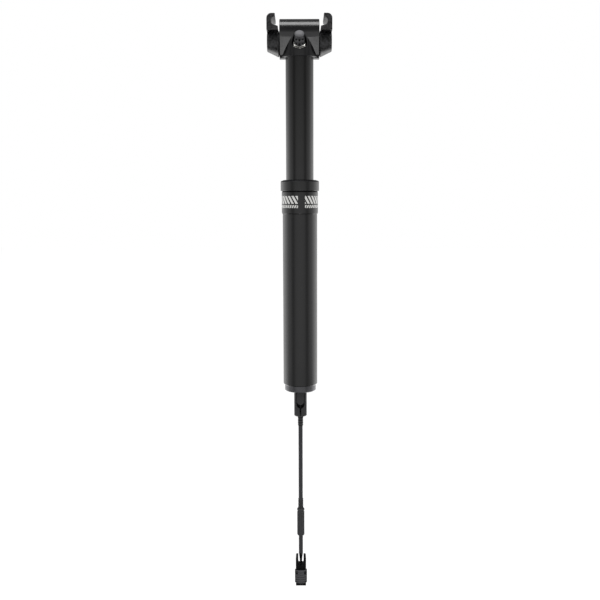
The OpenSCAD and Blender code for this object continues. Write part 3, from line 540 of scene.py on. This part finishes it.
# Thumb pad: its ledge and the foot of its two sunk corners, under its top; their inner sides, slope and depth;
# the radius of the pad's face and how thick the face is taken; the side of the arm's seat behind the pad, and how far
# back a corner may go before that seat and beside it; and how near a cut a point counts as on it
LEDGE, SUNK_FOOT = 0.9, 3.9
SUNK_SIDE, SUNK_SLOPE, SUNK = 3.0, 0.3, 1.7
FACE_ROUND, FACE_SKIN = 7.5, 0.7
SEAT_SIDE, SEAT_FRONT, CORNER_BACK = 5.05, -3.7, -1.9
ON_CUT = 0.001


def sink_corners(shape):
    """Sinks the two corners of the thumb pad's face that lie under its top ledge."""
    top = max(vert.co.z for vert in shape.verts) / MM
    front = min(vert.co.y for vert in shape.verts) / MM
    heights = (top - LEDGE, top - LEDGE - SUNK_SLOPE, top - SUNK_FOOT, top - SUNK_FOOT + SUNK_SLOPE)
    sides = (SUNK_SIDE, SUNK_SIDE + SUNK_SLOPE, -SUNK_SIDE, -SUNK_SIDE - SUNK_SLOPE)
    cuts = [((0, 0, height * MM), (0, 0, 1)) for height in heights]
    cuts += [((side * MM, 0, 0), (1, 0, 0)) for side in sides]
    for place, across in cuts:
        every = shape.verts[:] + shape.edges[:] + shape.faces[:]
        bmesh.ops.bisect_plane(shape, geom=every, dist=ON_CUT * MM, plane_co=place, plane_no=across)
    for vert in shape.verts:
        aside, deep, drop = abs(vert.co.x) / MM, vert.co.y / MM, top - vert.co.z / MM
        face = front + FACE_ROUND - (FACE_ROUND**2 - aside**2) ** 0.5
        under = LEDGE + SUNK_SLOPE / 2 < drop < SUNK_FOOT - SUNK_SLOPE / 2
        if under and aside > SUNK_SIDE + SUNK_SLOPE / 2 and deep < face + FACE_SKIN:
            limit = SEAT_FRONT if aside < SEAT_SIDE else CORNER_BACK
            vert.co.y = max(deep, min(deep + SUNK, limit)) * MM


# Height at which the yoke's two horns end
HORN_TOP = -328.1


def blunt_horns(shape):
    """Ends the yoke's two horns lower, where they are still wide."""
    for vert in shape.verts:
        vert.co.z = min(vert.co.z, HORN_TOP * MM)


# Pieces that are reshaped before their edges are rounded
RESHAPED = {"seat_head": flare_neck, "remote_yoke": blunt_horns}

# Points within WELD are joined, as are edges under SHORT times the rounding's width, and faces within FLAT degrees.
# An edge is hard above HARD degrees, and it is at an end if it lies within END of the farthest point
WELD, SHORT, FLAT = 0.002, 0.35, 0.6
HARD, END = 28, 0.01


def softened(name, width, where="all"):
    """A copy of a piece with its hard edges rounded to a width in millimetres, and those edges marked for wear.

    Where is "all" its edges, the "clear" ones that meet no edge shorter than the width, or those at its two "ends".
    """
    shape = bmesh.new()
    shape.from_mesh(frame["nodes"][name].data)
    bmesh.ops.remove_doubles(shape, verts=shape.verts, dist=WELD * MM)
    bmesh.ops.dissolve_degenerate(shape, dist=SHORT * width * MM, edges=shape.edges)
    bmesh.ops.dissolve_limit(shape, angle_limit=radians(FLAT), verts=shape.verts, edges=shape.edges)
    if name in RESHAPED:
        RESHAPED[name](shape)
    hard = [e for e in shape.edges if e.is_manifold and e.calc_face_angle() > radians(HARD)]
    if where == "ends":
        reach = max(abs(vert.co.x) for vert in shape.verts) - END * MM
        hard = [e for e in hard if all(abs(vert.co.x) > reach for vert in e.verts)]
    if where == "clear":
        hard = [e for e in hard if all(near.calc_length() > width * MM for vert in e.verts for near in vert.link_edges)]
    marks = shape.faces.layers.float.new("edge")
    round_off = bmesh.ops.bevel(
        shape, geom=hard, offset=width * MM, affect="EDGES", segments=2, profile=0.5, material=-1, clamp_overlap=False
    )
    for face in round_off["faces"]:
        face[marks] = 1.0
    if name == "lever_pad":
        sink_corners(shape)
    for face in shape.faces:
        face.smooth = True
    mesh = bpy.data.meshes.new(name + "_finished")
    shape.to_mesh(mesh)
    shape.free()
    shade_by_area(mesh, head_softness if name == "seat_head" else even_softness)
    mesh.materials.append(finish_of(name))
    piece = bpy.data.objects.new(name + "_finished", mesh)
    scene.collection.objects.link(piece)
    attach(piece, BODY_OF[name])
    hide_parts(name)
    return piece


# Cable: one straight hanging run from the ferrule's end, through the adjuster, to the rubber nose. Its points are
# heights from its exit, which is a place in metres, as is half its thickness
RUN = [0, -10, -20, -30, -40, -50, -60, -71, -80, -90, -100, -107.9, -113.9, -119.9, -125.5]
EXIT = (0, 0, -0.2)
CABLE_R = 0.002
spline = bpy.data.curves.new("cable_housing", "CURVE")
spline.dimensions = "3D"
spline.bevel_depth = CABLE_R
spline.bevel_resolution = 6
spline.use_fill_caps = True
line = spline.splines.new("POLY")
line.points.add(len(RUN) - 1)
for point, drop in zip(line.points, RUN):
    point.co = (0, 0, EXIT[2] + drop * MM, 1)
cable = bpy.data.objects.new("cable_housing", spline)
scene.collection.objects.link(cable)
spline.materials.append(FINISHES["housing_plastic"])
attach(cable, "frame_side")
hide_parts("cable_housing_upper", "cable_housing_lower")

# Rounded edges, by piece
for name, width, where in [
    ("right_jaw", 0.2, "clear"),
    ("left_jaw", 0.2, "clear"),
    ("seat_head", 0.45, "ends"),
    ("lower_tube", 0.15, "all"),
    ("collar", 0.25, "all"),
    ("foot_plug", 0.2, "all"),
    ("actuator_barrel", 0.2, "all"),
    ("cable_plunger", 0.2, "all"),
    ("cable_ferrule", 0.12, "all"),
    ("adjuster_barrel", 0.15, "all"),
    ("remote_yoke", 0.3, "all"),
    ("lever_arm", 0.35, "all"),
    ("lever_pad", 0.2, "all"),
    ("valve_body", 0.3, "all"),
    ("valve_cap", 0.1, "all"),
    ("clamp_bolt", 0.25, "all"),
    ("clamp_nut", 0.2, "all"),
    ("cable_anchor", 0.2, "all"),
    ("lever_pin", 0.15, "all"),
]:
    softened(name, width, where)

# Return spring: the same coil with rounded edges, on a mesh of its own, which does not shorten as the pin's flange
# comes down on it
spring = softened("return_spring", 0.05)
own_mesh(spring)

# Studio: a white room with two dimmer stretches beside the camera, bright side walls and a dark ceiling.
# Levels of its walls from straight behind the post, at 0, round to the camera, at 1, and from its floor, at 0, up to
# its ceiling, at 1. Then its diffuse light, and the white that the camera sees
WALL_LEVELS = [
    (0, 1), (0.07, 1), (0.18, 1.9), (0.41, 1.8), (0.54, 1.15),
    (0.73, 0.9), (0.81, 0.4), (0.87, 0.4), (0.93, 0.85), (1, 0.95),
]
RISE_LEVELS = [(0.52, 1), (0.59, 0.45), (0.655, 0.25), (0.72, 0.15), (0.85, 0.1)]
DIFFUSE = (0.75, 0.75, 0.75, 1)
WHITE = (1, 1, 1, 1)
world = bpy.data.worlds.new("studio")
scene.world = world
world.use_nodes = True
tree = world.node_tree
sky = tree.nodes["Background"]
ray = add(tree, "ShaderNodeLightPath").outputs
axes = add(tree, "ShaderNodeSeparateXYZ", {0: add(tree, "ShaderNodeTexCoord").outputs["Generated"]}).outputs
ahead = add(tree, "ShaderNodeMath", {0: axes["Y"], 1: -0.5, 2: 0.5}, operation="MULTIPLY_ADD").outputs[0]
height = add(tree, "ShaderNodeMath", {0: axes["Z"], 1: 0.5, 2: 0.5}, operation="MULTIPLY_ADD").outputs[0]
round_about = ramp(tree, ahead, WALL_LEVELS)
up_down = ramp(tree, height, RISE_LEVELS)
factors = {0: 1.0, 6: round_about, 7: up_down}
walls = add(tree, "ShaderNodeMix", factors, data_type="RGBA", blend_type="MULTIPLY").outputs[2]
soft = add(tree, "ShaderNodeMix", {0: ray["Is Diffuse Ray"], 6: walls, 7: DIFFUSE}, data_type="RGBA").outputs[2]
room = add(tree, "ShaderNodeMix", {0: ray["Is Camera Ray"], 6: soft, 7: WHITE}, data_type="RGBA").outputs[2]
tree.links.new(room, sky.inputs["Color"])


def soft_box(name, width, depth, watts, place, tilt, spread=180):
    """A soft area lamp in metres, turned from facing down by a tilt about X in degrees, and shining within a spread."""
    light = bpy.data.lights.new(name, "AREA")
    light.shape = "RECTANGLE"
    light.size = width
    light.size_y = depth
    light.energy = watts
    light.spread = radians(spread)
    lamp = bpy.data.objects.new(name, light)
    lamp.matrix_world = Matrix.Translation(place) @ Matrix.Rotation(radians(tilt), 4, "X")
    scene.collection.objects.link(lamp)


# Overhead box, which draws the bright line along the head's crown, and a low one that shines on the head alone
soft_box("overhead_box", width=0.8, depth=0.42, watts=7.4, place=(0, -0.19, 0.85), tilt=-13)
soft_box("low_box", width=0.5, depth=0.25, watts=0.02, place=(0, -0.75, -0.395), tilt=126, spread=22)

# Pale floor, well under the hanging remote: its height and half its side in metres.
# Mirrored in the part it is bright ahead and behind, and dim right below: places along Y within a reach in metres, as
# 0 to 1, with their levels. Between two more reaches it passes into the walls
FLOOR_Z, FLOOR_HALF = -0.52, 8
FLOOR_REACH = 2.0
FLOOR_LEVELS = [
    (0.14, 0.7), (0.3, 0.5), (0.36, 0.3), (0.42, 0.12), (0.53, 0.12), (0.57, 2.5), (0.62, 4.0), (0.75, 3.5)
]
FLOOR_EDGE = (1.05, 1.35)
# To the camera a share of the floor glows white, and the rest is its own lit surface, which keeps the part's shadow
GLOW_SHARE = 0.67
GLOW = (1.18, 1.18, 1.18, 1)
floor_mesh = bpy.data.meshes.new("floor")
slab = bmesh.new()
bmesh.ops.create_grid(slab, x_segments=1, y_segments=1, size=FLOOR_HALF)
bmesh.ops.translate(slab, verts=slab.verts, vec=(0, 0, FLOOR_Z))
slab.to_mesh(floor_mesh)
slab.free()
floor = bpy.data.objects.new("floor", floor_mesh)
scene.collection.objects.link(floor)
pale, tree, shader = finish("pale_floor", "#f4f4f4", Roughness=0.9)
ray = add(tree, "ShaderNodeLightPath").outputs
axes = add(tree, "ShaderNodeSeparateXYZ", {0: add(tree, "ShaderNodeTexCoord").outputs["Object"]}).outputs
span = {"Value": axes["Y"], "From Min": -FLOOR_REACH, "From Max": FLOOR_REACH}
along = add(tree, "ShaderNodeMapRange", span).outputs[0]
level = add(tree, "ShaderNodeCombineXYZ", {0: axes["X"], 1: axes["Y"]}).outputs[0]
reach = add(tree, "ShaderNodeVectorMath", {0: level}, operation="LENGTH").outputs["Value"]
share = add(tree, "ShaderNodeMath", {0: axes["Y"], 1: reach}, operation="DIVIDE").outputs[0]
ahead = add(tree, "ShaderNodeMath", {0: share, 1: -0.5, 2: 0.5}, operation="MULTIPLY_ADD").outputs[0]
edge = {"Value": reach, "From Min": FLOOR_EDGE[0], "From Max": FLOOR_EDGE[1]}
far = add(tree, "ShaderNodeMapRange", edge).outputs[0]
shown = {0: far, 6: ramp(tree, along, FLOOR_LEVELS), 7: ramp(tree, ahead, WALL_LEVELS)}
mirrored = add(tree, "ShaderNodeMix", shown, data_type="RGBA").outputs[2]
seen = add(tree, "ShaderNodeMix", {0: ray["Is Camera Ray"], 6: mirrored, 7: GLOW}, data_type="RGBA").outputs[2]
glow = add(tree, "ShaderNodeEmission", {"Color": seen, "Strength": 1.0}).outputs[0]
white = add(tree, "ShaderNodeMath", {0: ray["Is Camera Ray"], 1: GLOW_SHARE}, operation="MULTIPLY").outputs[0]
direct = add(tree, "ShaderNodeMath", {0: white, 1: ray["Is Glossy Ray"]}, operation="MAXIMUM").outputs[0]
both = add(tree, "ShaderNodeMixShader", {0: direct, 1: shader.outputs[0], 2: glow}).outputs[0]
tree.links.new(both, tree.nodes["Material Output"].inputs["Surface"])
floor_mesh.materials.append(pale)

bpy.context.view_layer.update()
